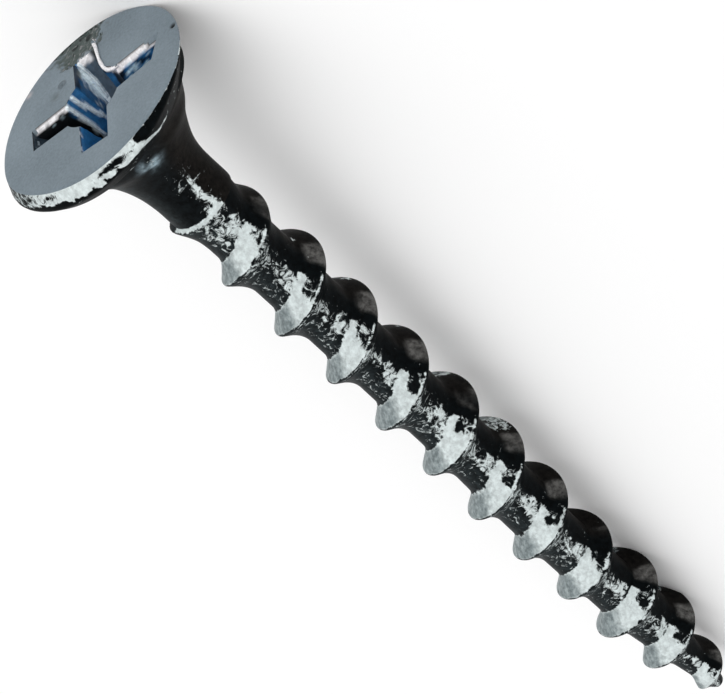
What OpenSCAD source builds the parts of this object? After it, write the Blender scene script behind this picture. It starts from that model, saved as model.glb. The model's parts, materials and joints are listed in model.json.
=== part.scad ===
// Coarse-thread drywall screw, lying on its side as it comes to rest.
// It is one forged and rolled piece of steel: bugle head, plain neck, threaded shank and point.
// The screw is made upright, with the head's face at z = 0 and the point up, and is then laid down
// on its x side. All sizes are in millimetres, and angles round the axis start at that side.

/* [Overall] */
// Length from the head's face to the point
length = 40; // [30:0.5:55]

/* [Head] */
// Diameter of the face inside the rim's bevel, where the underside doesn't trim it
face_d = 8.1; // [8:0.05:8.3]
// Slope of the rim's bevel, from the face
bevel_angle = 73; // [65:1:80]
// Diameter of the rim's conical underside at the level of the face
under_d = 8.6; // [8.4:0.05:8.7]
// How far the underside is forged off the shank's axis, away from the side that the screw lies on
under_shift = 0.53; // [0.45:0.01:0.65]
// Slope of the rim's underside, from the face
under_angle = 56; // [48:1:62]
// Depth below the face at which the rim gives way to the bugle
rim_h = 1; // [0.9:0.05:1.3]
// Diameter of the bugle where it leaves the rim
bugle_d = 6.5; // [6:0.1:6.8]
// Depth below the face at which the bugle's curve has run into the neck
bugle_end = 5.1; // [4.2:0.05:5.6]

/* [Cross recess] */
// Span of the recess across two opposite wings, at the face
recess_span = 5.6; // [4.5:0.1:6.2]
// Width of a wing
wing_w = 1.25; // [0.9:0.05:1.5]
// Depth of the wings
recess_depth = 2.4; // [1.5:0.1:2.6]
// Slope of a wing's outer end, from the screw's axis
wing_slope = 38; // [20:1:42]
// Diameter of the flared centre at the face
flare_d = 2.9; // [2:0.1:3.4]
// Diameter of the flared centre at the bottom of the wings
core_d = 1.5; // [1:0.1:1.8]
// Depth of the pointed pocket below the wings
pocket_h = 0.4; // [0.2:0.05:0.6]
// Turn of the recess
recess_angle = 50; // [0:1:89]

/* [Neck] */
// Diameter of the plain neck
neck_d = 2.65; // [2.5:0.05:3]
// Depth below the face at which the neck ends in a small step
neck_end = 5.85; // [5.7:0.05:8]

/* [Thread] */
// Outer diameter of the thread
thread_d = 3.5; // [3.2:0.05:4.2]
// Diameter at the thread's root
root_d = 2.2; // [1.9:0.05:2.4]
// Distance from one crest to the next
pitch = 3.05; // [2.4:0.05:3.4]
// Width of the narrow land on the crest
crest_w = 0.14; // [0.08:0.02:0.24]
// Slope of both flanks, from square to the axis
flank_angle = 47; // [30:1:50]
// Radius of the fillet where a flank meets the root
root_fillet = 0.65; // [0.2:0.05:0.75]
// Side on which the crest leaves the neck
thread_angle = 222; // [0:1:359]
// Height of the thread where it leaves the neck
start_h = 0.3; // [0.1:0.02:0.4]
// Length over which the thread then rises to its full height
run_in = 3.6; // [1:0.1:5]

/* [Point] */
// Length over which the root tapers to the point
root_taper = 7; // [3:0.1:9]
// Length over which the thread's height runs out on the point
crest_taper = 7; // [4:0.1:11]
// Diameter of the blunt end
nose_d = 0.75; // [0.4:0.05:1]
// Length over which the blunt end is rounded
nose_len = 0.4; // [0.2:0.05:0.6]

/* [Hidden] */
$fn = 64;

face_r = face_d / 2;
bugle_r = bugle_d / 2;
neck_r = neck_d / 2;
root_r = root_d / 2;
nose_r = nose_d / 2;
past = 0.5;                        // how far a cut runs past the face that it opens
steel = [0.46, 0.49, 0.51];

under_r = under_d / 2;
shoulder_z = 0.2;                  // where the shoulder starts, inside the rim

// The bugle is an arc that runs into the neck without a corner
bugle_out = bugle_r - neck_r;
bugle_run = bugle_end - rim_h;
bugle_arc = (bugle_run * bugle_run + bugle_out * bugle_out) / (2 * bugle_out);
bugle_sweep = asin(bugle_run / bugle_arc);
bugle_steps = 24;

// Profile of the thread over one pitch: place along the axis, and share of the full height
thread_h = (thread_d - root_d) / 2;
half_land = crest_w / 2;
flank_run = thread_h * tan(flank_angle);
fillet_sweep = 90 - flank_angle;
fillet_cut = root_fillet * tan(fillet_sweep / 2);
fillet_end = half_land + flank_run + fillet_cut;
function fillet_point(turn) = [fillet_end - root_fillet * sin(turn),
                               root_fillet * (1 - cos(turn)) / thread_h];
half_profile = [[half_land, 1], fillet_point(fillet_sweep), fillet_point(fillet_sweep / 2),
                fillet_point(0)];
mirrored = [for (i = [3:-1:0]) [-half_profile[i][0], half_profile[i][1]]];
profile = concat(mirrored, half_profile, [[pitch / 2, 0]]);
columns = len(profile);

// The surface of the shank is a net: its rows follow each other round the helix, each row is one
// pitch long, and the row one turn later goes on from its end
turn_rows = 32;                    // rows in one turn
sink = 0.1;                        // how far inside the neck the net starts
nose_run = 1.2;                    // length before the end over which the turns close up
extra_turns = 2.5;                 // turns that close up there
first_row = floor((thread_angle / 360 + (fillet_end - sink) / pitch - 1) * turn_rows - 0.5);
net_end = length - nose_run + extra_turns * pitch;
last_row = ceil(((net_end - neck_end + fillet_end) / pitch + thread_angle / 360) * turn_rows);

// Angle of a row, and where its crest would lie on an endless thread
function row_angle(row) = (row + 0.5) * 360 / turn_rows;
function row_crest(row) = neck_end + pitch * (row_angle(row) - thread_angle) / 360;

// Where a place on the endless thread lies on the screw, which holds it short of the end
function on_axis(along) = along < length - nose_run ? along
    : length - nose_run * exp((length - nose_run - along) / nose_run);

// Taper towards the point: what is left of a size at a distance from the end
function run_out(left, taper) = pow(1 - pow(1 - min(left / taper, 1), 2), 0.75);
function nose_round(z) = sqrt(1 - pow(1 - min((length - z) / nose_len, 1), 2));

// Radius of the root, height of the thread on it, and radius at a share of that height
function root_at(z) = nose_r + (root_r - nose_r) * min((length - z) / root_taper, 1);
function rise_at(z) = z < neck_end ? start_h * max(0, 1 - (neck_end - z) / sink)
    : min(thread_h, start_h + (thread_h - start_h) * (z - neck_end) / run_in);
function radius_at(z, share) =
    (root_at(z) + share * rise_at(z) * run_out(length - z, crest_taper)) * nose_round(z);

function net_point(row, column) =
    let (z = on_axis(row_crest(row) + profile[column][0]),
         r = radius_at(z, profile[column][1]),
         angle = row_angle(row))
    [r * cos(angle), r * sin(angle), z];

// The last row is followed by the start of each row of the next turn, which closes the net
rows = [for (row = [first_row:last_row]) for (column = [0:columns - 1]) net_point(row, column)];
tail = [for (row = [last_row + 1:last_row + turn_rows]) net_point(row, 0)];
net = concat(rows, tail, [[0, 0, neck_end - sink - pitch / 2], [0, 0, length]]);
function at(row, column) = column == columns ? at(row + turn_rows, 0)
    : row <= last_row ? (row - first_row) * columns + column
    : len(rows) + row - last_row - 1;
net_start = len(net) - 2;
net_tip = len(net) - 1;

// Height and slope at which the screw lies, on the face's trimmed edge and on the crest that
// reaches lowest
rim_low = under_r - under_shift;
droop = atan(min([for (p = rows) if (p[2] > neck_end) (rim_low - p[0]) / p[2]]));
lift = rim_low * cos(droop);
middle = (length * cos(droop) - rim_low * sin(droop)) / 2;

// Rim: a bevel true to the axis, over an underside forged off it. It is thickest on top, and runs
// out to a plain edge where it touches down.
module rim() {
    rotate([0, 0, 180])
        intersection() {
            cylinder(r1 = face_r, r2 = face_r + rim_h / tan(bevel_angle), h = rim_h);
            translate([under_shift, 0, 0])
                cylinder(r1 = under_r, r2 = under_r - rim_h / tan(under_angle), h = rim_h);
        }
}

// Bugle and neck in one turned profile, from inside the rim to the step where the thread starts
module bugle_and_neck() {
    flare = [for (i = [0:bugle_steps]) let (turn = bugle_sweep * (1 - i / bugle_steps))
        [neck_r + bugle_arc * (1 - cos(turn)), bugle_end - bugle_arc * sin(turn)]];
    rotate_extrude()
        polygon(concat([[0, shoulder_z], [bugle_r, shoulder_z]],
                       flare, [[neck_r, neck_end], [0, neck_end]]));
}

// Cross recess: two pairs of wings with sloping ends, a flared centre and a pointed pocket
module recess() {
    slope = tan(wing_slope);
    half_top = recess_span / 2 + past * slope;
    half_bottom = recess_span / 2 - recess_depth * slope;
    widening = (flare_d - core_d) / 2 / recess_depth * past;
    for (turn = [0, 90])
        rotate([90, 0, recess_angle + turn])
            linear_extrude(height = wing_w, center = true)
                polygon([[-half_top, -past], [half_top, -past],
                         [half_bottom, recess_depth], [-half_bottom, recess_depth]]);
    rotate_extrude()
        polygon([[0, -past], [flare_d / 2 + widening, -past],
                 [core_d / 2, recess_depth], [0, recess_depth + pocket_h]]);
}

// Threaded shank: root, thread, run-in at the neck and run-out on the point, as one skin
module threaded_shank() {
    skin = [for (row = [first_row:last_row - 1]) for (column = [0:columns - 1])
        let (a = at(row, column), b = at(row + 1, column),
             c = at(row + 1, column + 1), d = at(row, column + 1))
        each [[a, c, b], [a, d, c]]];
    bottom = concat(
        [for (row = [first_row:first_row + turn_rows - 1]) [at(row, 0), at(row + 1, 0), net_start]],
        [for (column = [0:columns - 1])
            [at(first_row, column + 1), at(first_row, column), net_start]]);
    end = concat(
        [for (row = [last_row:last_row + turn_rows - 1]) [at(row + 1, 0), at(row, 0), net_tip]],
        [for (column = [0:columns - 1]) [at(last_row, column), at(last_row, column + 1), net_tip]]);
    polyhedron(net, concat(skin, bottom, end), convexity = 8);
}

module drywall_screw() {
    color(steel)
        translate([-middle, 0, lift]) rotate([0, 90 + droop, 0])
            difference() {
                union() {
                    rim();
                    bugle_and_neck();
                    threaded_shank();
                }
                recess();
            }
}

drywall_screw();
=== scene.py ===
import json
import math

import bpy
import numpy as np
from mathutils import Matrix, Vector, noise


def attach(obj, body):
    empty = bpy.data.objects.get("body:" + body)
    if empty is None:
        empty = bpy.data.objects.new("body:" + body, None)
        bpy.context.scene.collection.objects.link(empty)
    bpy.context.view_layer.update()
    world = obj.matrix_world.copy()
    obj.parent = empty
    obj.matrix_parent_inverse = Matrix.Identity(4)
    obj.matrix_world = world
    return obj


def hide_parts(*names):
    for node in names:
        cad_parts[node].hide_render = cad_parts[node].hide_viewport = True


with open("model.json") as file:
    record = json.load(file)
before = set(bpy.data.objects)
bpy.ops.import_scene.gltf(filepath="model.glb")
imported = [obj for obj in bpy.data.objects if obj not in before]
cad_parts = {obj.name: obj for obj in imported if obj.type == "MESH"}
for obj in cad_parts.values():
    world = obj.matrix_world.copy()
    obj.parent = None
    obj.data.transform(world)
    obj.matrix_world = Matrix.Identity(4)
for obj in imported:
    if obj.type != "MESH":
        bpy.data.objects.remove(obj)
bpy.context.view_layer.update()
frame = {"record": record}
bpy.ops.object.select_all(action="DESELECT")
print("frame loaded")

mm = 0.001          # the screw is modelled in millimetres, upright, then laid down in metres
weld = 0.0005       # doubles closer than this are merged
tau = math.tau

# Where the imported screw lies: centre of its face, its axis towards the point, and its lower side
mounts = {mount["name"]: mount for mount in frame["record"]["mounts"]}
faceCentre = Vector(mounts["drive_recess"]["pos_m"])
alongScrew = -Vector(mounts["drive_recess"]["axis"]).normalized()
acrossScrew = Vector((0, 1, 0))
underScrew = acrossScrew.cross(alongScrew)
turnDown = Matrix((underScrew, acrossScrew, alongScrew)).transposed()
layDown = Matrix.Translation(faceCentre) @ turnDown.to_4x4() @ Matrix.Scale(mm, 4)


# Small tools

def toLinear(hexColor):
    channels = [int(hexColor[i:i + 2], 16) / 255 for i in (1, 3, 5)]
    return [c / 12.92 if c <= 0.04045 else ((c + 0.055) / 1.055) ** 2.4 for c in channels] + [1]


def softMin(a, b, reach):
    gap = np.maximum(reach - np.abs(a - b), 0)
    return np.minimum(a, b) - gap * gap / (4 * reach)


def softMax(a, b, reach):
    return -softMin(-a, -b, reach)


def fade(start, end, value):
    share = np.clip((value - start) / (end - start), 0, 1)
    return share * share * (3 - 2 * share)


def band(low, high, soft, value):
    return fade(low - soft, low + soft, value) * (1 - fade(high - soft, high + soft, value))


def hill(value, middle, width):
    return np.exp(-((value - middle) / width) ** 2)


def sideFrom(side, middle):
    return (side - middle + 180) % 360 - 180


def editMode(on):
    bpy.ops.object.mode_set(mode="EDIT" if on else "OBJECT")


def makeActive(piece):
    bpy.ops.object.select_all(action="DESELECT")
    piece.select_set(True)
    bpy.context.view_layer.objects.active = piece


def mergeAndTurnOut():
    bpy.ops.mesh.select_all(action="SELECT")
    bpy.ops.mesh.remove_doubles(threshold=weld)
    bpy.ops.mesh.normals_make_consistent(inside=False)


def getPoints(piece):
    flat = np.empty(len(piece.data.vertices) * 3)
    piece.data.vertices.foreach_get("co", flat)
    return flat.reshape(-1, 3)


def getNormals(piece):
    flat = np.empty(len(piece.data.vertices) * 3)
    piece.data.vertices.foreach_get("normal", flat)
    return flat.reshape(-1, 3)


def sideOf(points):
    return np.arctan2(points[:, 1], points[:, 0])


def radiusOf(points, middle=(0, 0)):
    return np.hypot(points[:, 0] - middle[0], points[:, 1] - middle[1])


def noiseAt(points, size, seed=0.0):
    shift = Vector((seed, seed * 2, -seed))
    return np.array([noise.noise(Vector(p) / size + shift) for p in points])


def setPoints(piece, points):
    piece.data.vertices.foreach_set("co", np.asarray(points, dtype=float).ravel())
    piece.data.update()


def drawLine(name, points):
    # a single vertex, extruded from point to point
    bpy.ops.mesh.primitive_plane_add(size=1)
    line = bpy.context.object
    line.name = name
    editMode(True)
    bpy.ops.mesh.merge(type="CENTER")
    here = Vector(points[0])
    bpy.ops.transform.translate(value=here)
    for point in points[1:]:
        there = Vector(point)
        bpy.ops.mesh.extrude_region_move(TRANSFORM_OT_translate={"value": there - here})
        here = there
    editMode(False)
    return line


def spinLine(steps):
    editMode(True)
    bpy.ops.mesh.select_all(action="SELECT")
    bpy.ops.mesh.spin(steps=steps, angle=tau, center=(0, 0, 0), axis=(0, 0, 1))
    mergeAndTurnOut()
    editMode(False)


def boolean(piece, tool, operation):
    makeActive(piece)
    cut = piece.modifiers.new(operation.lower(), "BOOLEAN")
    cut.operation = operation
    cut.solver = "MANIFOLD"
    cut.object = tool
    bpy.ops.object.modifier_apply(modifier=cut.name)
    bpy.data.objects.remove(tool, do_unlink=True)


# The head, turned as a blank and then forged out of true

head = dict(
    segments=192,
    faceRadius=4.0,        # of the face, inside the bevel
    bevelRun=0.5,          # growth of the bevel per millimetre of depth
    underRadius=4.3,       # cone of the rim's underside at the face
    underRun=0.92,         # what that cone loses per millimetre
    underShift=0.6,        # how far it is off the axis, on the side away from the floor
    edgeRound=0.05,        # small radius between face and bevel
    rimRound=0.12,         # softness of the edge between bevel and underside
    rimHeight=1.0,
    ledgeRound=0.05,       # and of the corner under the rim
    ledgeEnd=1.3,          # where the rim's undercut has run into the bugle
    bugleRadius=3.28,
    bugleEnd=5.1,
    neckRadius=1.32,
    neckEnd=5.85,
    neckRound=0.06,
    centre=(0.09, -0.07),  # of the rim, off the shank's axis
    centreEnd=2.2,         # depth at which the underside is back on the axis
    # the forged rim isn't round: side, what it stands out or in there, and over how many degrees
    outOfRound=[(209, 0.11, 20), (290, -0.15, 42), (29, 0.06, 25), (140, 0.05, 25)],
    # the bugle's swell and waist: depth, amount and reach
    swells=[(2.1, 0.09, 0.35), (3.8, -0.04, 0.8)],
    sway=-0.05,            # how far the waist is bent towards the upper side, and where
    swayDepth=3.7,
    swayReach=0.9,
    lean=(0.007, 0.047),   # turn of the head about the lower side and about the cross direction
    leanEnd=4.8,           # depth at which the lean has faded out
    faceRows=42, rimRows=16, ledgeRows=6, bugleRows=44, neckRows=6,
)


def bugleRadiusAt(depth):
    out = head["bugleRadius"] - head["neckRadius"]
    run = head["bugleEnd"] - head["rimHeight"]
    arc = (run * run + out * out) / (2 * out)
    left = np.clip(head["bugleEnd"] - depth, 0, run)
    swell = sum(amount * hill(depth, middle, reach) for middle, amount, reach in head["swells"])
    return head["neckRadius"] + arc - np.sqrt(arc * arc - left * left) + swell


def rimRadiusAt(depth, side):
    bevel = head["faceRadius"] + head["bevelRun"] * depth
    cone = head["underRadius"] - head["underRun"] * depth
    away = side - math.pi
    under = head["underShift"] * np.cos(away) + np.sqrt(cone ** 2 - (head["underShift"] * np.sin(away)) ** 2)
    rim = softMin(bevel, under, head["rimRound"])
    for middle, amount, reach in head["outOfRound"]:
        rim = rim + amount * hill(sideFrom(np.degrees(side), middle), 0, reach)
    left = np.clip(1 - depth / head["edgeRound"], 0, 1)
    return rim - head["edgeRound"] * (1 - np.sqrt(1 - left * left))


def makeHead():
    blankRadius = head["faceRadius"]
    blankLedge = head["bugleRadius"]
    crowding = 1.5      # the rim's rows stand closer near the face
    points = [(blankRadius * i / head["faceRows"], 0, 0) for i in range(head["faceRows"] + 1)]
    points += [(blankRadius, 0, head["rimHeight"] * (i / head["rimRows"]) ** crowding)
               for i in range(1, head["rimRows"] + 1)]
    points += [(blankRadius + (blankLedge - blankRadius) * i / head["ledgeRows"], 0, head["rimHeight"])
               for i in range(1, head["ledgeRows"] + 1)]
    bugleRun = head["bugleEnd"] - head["ledgeEnd"]
    points += [(blankLedge, 0, head["ledgeEnd"] + bugleRun * i / head["bugleRows"])
               for i in range(1, head["bugleRows"] + 1)]
    neckRun = head["neckEnd"] - head["bugleEnd"]
    points += [(blankLedge, 0, head["bugleEnd"] + neckRun * math.sin(i / head["neckRows"] * math.pi / 2))
               for i in range(1, head["neckRows"] + 1)]
    points += [(0, 0, head["neckEnd"])]
    piece = drawLine("head", points)
    spinLine(head["segments"])

    blank = getPoints(piece)
    radius = radiusOf(blank)
    side = sideOf(blank)
    depth = blank[:, 2].copy()
    small = 1e-4
    leastLedge = 0.02   # the rim stands out at least this far
    leastRim = bugleRadiusAt(head["rimHeight"]) + leastLedge
    rimEdge = np.maximum(rimRadiusAt(head["rimHeight"], side), leastRim)
    onFace = depth < small
    onRim = (depth >= small) & (radius > blankRadius - small)
    onLedge = (np.abs(depth - head["rimHeight"]) < small) & ~onRim
    onBugle = (depth > head["rimHeight"] + small) & (radius > small)
    forged = radius.copy()
    forged[onFace] = (radius / blankRadius * rimRadiusAt(0 * depth, side))[onFace]
    rim = softMax(rimRadiusAt(depth, side), head["bugleRadius"] + 0 * depth, head["ledgeRound"])
    forged[onRim] = rim[onRim]
    slide = (blankRadius - radius) / (blankRadius - blankLedge)
    ledge = rimEdge + (bugleRadiusAt(head["ledgeEnd"]) - rimEdge) * slide
    forged[onLedge] = ledge[onLedge]
    depth[onLedge] += ((head["ledgeEnd"] - head["rimHeight"]) * slide ** 2)[onLedge]
    neck = bugleRadiusAt(depth)
    last = np.clip((depth - head["neckEnd"]) / head["neckRound"] + 1, 0, 1)
    neck -= head["neckRound"] * (1 - np.sqrt(1 - last * last))
    forged[onBugle] = neck[onBugle]
    points = np.stack([forged * np.cos(side), forged * np.sin(side), depth], axis=1)

    hold = 1 - fade(head["rimHeight"], head["centreEnd"], depth)
    points[:, 0] += head["centre"][0] * hold
    points[:, 1] += head["centre"][1] * hold
    setPoints(piece, points)
    return piece


# The cross recess: four wings of their own length and width, and a flared middle

recess = dict(
    # half widths and reaches of a wing's end on its right and left, seen from the axis,
    # and how much of the torn lip stands at its right, left and end
    wings=[
        dict(turn=49.5, rightReach=3.12, rightHalf=0.60, leftReach=2.64, leftHalf=0.58,
             lips=(1.0, 0.1, 0.3)),
        dict(turn=144.5, rightReach=2.66, rightHalf=0.66, leftReach=2.60, leftHalf=0.50,
             lips=(0.1, 0.3, 0.1)),
        dict(turn=232.0, rightReach=2.67, rightHalf=0.56, leftReach=2.68, leftHalf=0.58,
             lips=(0.1, 1.0, 0.1)),
        dict(turn=318.5, rightReach=2.60, rightHalf=0.50, leftReach=2.66, leftHalf=0.56,
             lips=(0.3, 0.2, 1.0)),
    ],
    rootHalf=0.66,
    inner=-0.5,            # where a wing's cutter starts, behind the axis
    depth=2.4,
    endSlope=30,
    wallSlope=4,
    mouth=0.17,            # depth of the torn lip at the mouth
    past=0.4,              # how far the cutters stand above the face
    # where a wing's cutter passes the face, the mouth and this middle depth, as shares of its rows
    levels=(0, 0.05, 0.16, 0.5, 1),
    middleDepth=0.65,
    flareTop=1.26, flareBottom=0.75, pocket=0.4,
    flareRows=20, flareSteps=64,
    cuts=21,
    # what counts as inside it: how deep, how far inside the bugle's skin, and how high over the face
    deepest=3.0,
    skinLeft=0.25,
    burrRoom=0.5,
    roughness=0.03,        # the walls are drawn rough by the punch, from this depth on
    roughStart=0.02,
    roughSize=0.3,
    burrLevels=2,
    # burrs that the punch and the driver left: place across the face, height over it, and radius
    burrs=[
        [(2.50, -1.30, 0.05, 0.045), (2.44, -1.44, 0.15, 0.075), (2.33, -1.33, 0.09, 0.085),
         (2.16, -1.14, 0.06, 0.055), (1.92, -0.92, 0.04, 0.070), (1.66, -0.66, 0.04, 0.060),
         (1.40, -0.37, 0.02, 0.080), (1.20, -0.10, 0.02, 0.070), (1.08, 0.18, 0.00, 0.090),
         (1.12, 0.42, -0.03, 0.075), (1.28, 0.62, -0.05, 0.050)],
        [(1.60, -2.08, -0.09, 0.045), (1.80, -1.92, -0.08, 0.050), (1.95, -1.76, -0.10, 0.040),
         (2.10, -1.60, -0.07, 0.050), (2.24, -1.46, -0.07, 0.040)],
    ],
    # ridges that the punch drew down the walls, in the same way, made bright by a painted highlight
    ridges=[
        [(1.60, -1.89, -0.05, 0.055), (1.54, -1.74, -0.42, 0.070), (1.41, -1.55, -0.79, 0.060),
         (1.26, -1.42, -1.12, 0.070), (1.12, -1.34, -1.42, 0.055)],
        [(0.13, -1.22, -0.05, 0.055), (0.16, -1.12, -0.60, 0.070), (0.21, -1.02, -0.98, 0.060),
         (0.26, -0.93, -1.33, 0.055)],
        [(-0.27, -1.21, -0.05, 0.055), (-0.27, -1.09, -0.68, 0.070), (-0.26, -0.98, -1.27, 0.060),
         (-0.27, -0.93, -1.73, 0.055)],
    ],
)


def wingCutter(wing):
    bpy.ops.mesh.primitive_cube_add(size=1, location=(0.5, 0, 0.5))
    cutter = bpy.context.object
    bpy.ops.object.transform_apply(location=True)
    editMode(True)
    bpy.ops.mesh.select_all(action="SELECT")
    bpy.ops.mesh.subdivide(number_cuts=recess["cuts"])
    mergeAndTurnOut()
    editMode(False)
    blank = getPoints(cutter)
    share, left, level = blank[:, 0], blank[:, 1] + 0.5, blank[:, 2]
    depth = np.interp(level, recess["levels"],
                      [-recess["past"], 0, recess["mouth"], recess["middleDepth"], recess["depth"]])
    deep = np.maximum(depth - recess["mouth"], 0)
    chamfer = np.maximum(recess["mouth"] - depth, 0)
    rightLip, leftLip, endLip = wing["lips"]
    tip = wing["rightReach"] + (wing["leftReach"] - wing["rightReach"]) * left
    tip = tip - deep * math.tan(math.radians(recess["endSlope"])) + (chamfer - recess["mouth"]) * endLip
    along = recess["inner"] + (tip - recess["inner"]) * share
    narrow = -deep * math.tan(math.radians(recess["wallSlope"]))
    rightEdge = recess["rootHalf"] + (wing["rightHalf"] - recess["rootHalf"]) * share + narrow
    rightEdge += (chamfer - recess["mouth"]) * rightLip
    leftEdge = recess["rootHalf"] + (wing["leftHalf"] - recess["rootHalf"]) * share + narrow
    leftEdge += (chamfer - recess["mouth"]) * leftLip
    across = -rightEdge + (leftEdge + rightEdge) * left
    turn = math.radians(wing["turn"])
    setPoints(cutter, np.stack([along * math.cos(turn) - across * math.sin(turn),
                                along * math.sin(turn) + across * math.cos(turn), depth], axis=1))
    return cutter


def flareCutter():
    past = recess["past"]
    run = (recess["flareTop"] - recess["flareBottom"]) / recess["depth"]
    points = [(0, 0, -past)]
    points += [(recess["flareTop"] - run * z, 0, z)
               for z in np.linspace(-past, recess["depth"], recess["flareRows"])]
    points += [(0, 0, recess["depth"] + recess["pocket"])]
    cutter = drawLine("flare", points)
    spinLine(recess["flareSteps"])
    return cutter


def cutRecess(piece):
    for wing in recess["wings"]:
        boolean(piece, wingCutter(wing), "DIFFERENCE")
    boolean(piece, flareCutter(), "DIFFERENCE")
    roughenRecess(piece)
    for burr in recess["burrs"] + recess["ridges"]:
        boolean(piece, makeBurr(burr), "UNION")


def roughenRecess(piece):
    points = getPoints(piece)
    normals = getNormals(piece)
    inside = inRecess(points) & (points[:, 2] > recess["roughStart"])
    rough = noiseAt(points, recess["roughSize"], 4.0)
    rough += 0.5 * noiseAt(points, recess["roughSize"] / 2.5, 6.0)
    move = np.where(inside, recess["roughness"] * rough, 0)
    setPoints(piece, points + normals * move[:, None])


def makeBurr(burr):
    # a thin line with a skin on it, thicker and thinner along its way
    line = drawLine("burr", [(x, y, -height) for x, y, height, thick in burr])
    makeActive(line)
    skin = line.modifiers.new("skin", "SKIN")
    for skinPoint, (x, y, height, thick) in zip(line.data.skin_vertices[0].data, burr):
        skinPoint.radius = (thick, thick)
    line.data.skin_vertices[0].data[0].use_root = True
    bpy.ops.object.modifier_apply(modifier=skin.name)
    soft = line.modifiers.new("soft", "SUBSURF")
    soft.levels = soft.render_levels = recess["burrLevels"]
    bpy.ops.object.modifier_apply(modifier=soft.name)
    editMode(True)
    bpy.ops.mesh.select_all(action="SELECT")
    bpy.ops.mesh.normals_make_consistent(inside=False)
    editMode(False)
    return line


def inRecess(points, past=0.0):
    radius = radiusOf(points)
    depth = points[:, 2]
    skin = bugleRadiusAt(np.maximum(depth, head["rimHeight"]))
    return (depth > past) & (depth < recess["deepest"]) & (radius < skin - recess["skinLeft"])


def fromLine(points, line):
    # distance to a line of stations
    far = 9.0
    away = np.full(len(points), far)
    for start, end in zip(line[:-1], line[1:]):
        run = end - start
        share = np.clip((points - start) @ run / (run @ run), 0, 1)
        away = np.minimum(away, np.linalg.norm(points - start - share[:, None] * run, axis=1))
    return away


def isFace(points, depth, upright):
    # the face itself, its marks and its torn part, but not the burrs that stand on it
    marked = radiusOf(points) > face["torn"]["start"] - face["margin"]
    for mark in face["marks"]:
        marked |= radiusOf(points, mark["place"]) < face["markReach"]
    pitted = (upright < -face["pitSlope"]) & (np.abs(depth) < face["pitDepth"])
    even = (upright < -face["evenSlope"]) & (np.abs(depth) < face["evenDepth"])
    return (marked & pitted) | even


def leanPoints(points):
    turn = Vector((head["lean"][0], head["lean"][1], 0))
    return points @ np.array(Matrix.Rotation(turn.length, 3, turn.normalized())).T


def leanHead(piece):
    points = getPoints(piece)
    hold = 1 - fade(head["rimHeight"], head["leanEnd"], points[:, 2])
    leaned = leanPoints(points)
    points += (leaned - points) * hold[:, None]
    setSide = math.radians(thread["setSide"])
    sway = head["sway"] * hill(points[:, 2], head["swayDepth"], head["swayReach"])
    points[:, 0] += sway * math.cos(setSide)
    points[:, 1] += sway * math.sin(setSide)
    setPoints(piece, points)


# Marks on the face: place across it, radius, tone and its share, and depth

face = dict(
    marks=[
        dict(place=(0.71, -2.09), radius=0.08, tone="black", share=0.5, sink=0.05),
        dict(place=(0.21, -2.14), radius=0.17, tone="torn", share=0.5, sink=0.03),
        dict(place=(0.44, -3.80), radius=0.14, tone="pale", share=0.9, sink=0.02),
        dict(place=(2.62, 2.64), radius=0.08, tone="black", share=2.0, sink=0.10),
    ],
    markReach=0.32,        # what lies nearer to a mark belongs to it
    markSpread=1.1,        # a mark's tone reaches further than its pit
    ring=dict(place=(0.71, -2.09), radius=0.15, width=0.05, lift=0.03, share=0.4, toneStart=0.1),
    # torn patch at the edge, with its ragged borders: sides and distance from the middle
    torn=dict(side=317, reach=17, start=2.62, end=4.1, sink=0.07, rough=0.07, sideBorder=(-3, 2),
              sideStray=6, startBorder=(-0.05, 0.1), startStray=0.1, pale=0.5, paleFade=(0.25, 0.5),
              black=0.8, blackFade=(0.3, 0.6)),
    toneStart=0.05,        # share from which a mark's tone replaces the one beneath
    cuts=2,                # of the mesh round a mark
    spotSize=0.22, gritSize=0.12, streakSize=0.09, streakStretch=(0.35, 1.0, 1.0),
    # what counts as the face, by depth and by how upright its normal is
    nearDepth=0.2, flatDepth=0.012, outerRadius=4.2,
    evenDepth=0.014, evenSlope=0.8,
    pitDepth=0.3, pitSlope=0.5,
    margin=0.02,
)


def tornShare(points, spot):
    torn = face["torn"]
    side = np.degrees(sideOf(points))
    radius = radiusOf(points)
    sideLow, sideHigh = torn["sideBorder"]
    away = np.abs(sideFrom(side, torn["side"])) + torn["sideStray"] * spot
    across = 1 - fade(torn["reach"] + sideLow, torn["reach"] + sideHigh, away)
    startLow, startHigh = torn["startBorder"]
    return across * fade(torn["start"] + startLow, torn["start"] + startHigh,
                         radius + torn["startStray"] * spot)


def onTheFace(points):
    radius = radiusOf(points)
    return (np.abs(points[:, 2]) < face["flatDepth"]) & (radius < face["outerRadius"])


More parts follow.
